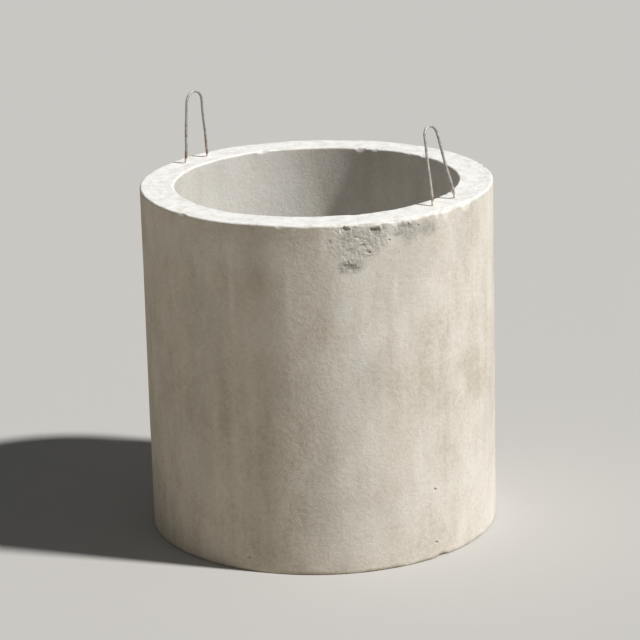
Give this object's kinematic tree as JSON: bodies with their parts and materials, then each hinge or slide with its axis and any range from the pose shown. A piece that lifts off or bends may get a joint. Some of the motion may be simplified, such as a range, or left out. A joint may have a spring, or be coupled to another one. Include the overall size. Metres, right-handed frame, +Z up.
{
  "type": "concrete sewer pipe",
  "caption": "Short plain-ended concrete pipe ring standing on its end, open through its bore, with bent wire loops on the top rim for lifting.",
  "frame": {"origin": "centre of the ring's bottom face", "axes": "+Z up the bore, -Y is the side that faces the viewer, +X to the viewer's right"},
  "size_m": [1, 1, 1.2086],
  "materials": {
    "concrete": "bare cast concrete, matt, warm grey-beige with faint vertical form streaks, pits and a paler trowelled rim",
    "loop_wire": "plain round bar, dull grey mill scale with light rust, more at the feet"
  },
  "bodies": {
    "root": {"concrete_ring": "concrete", "lifting_loop_right": "loop_wire", "lifting_loop_left": "loop_wire"}
  },
  "joints": []
}
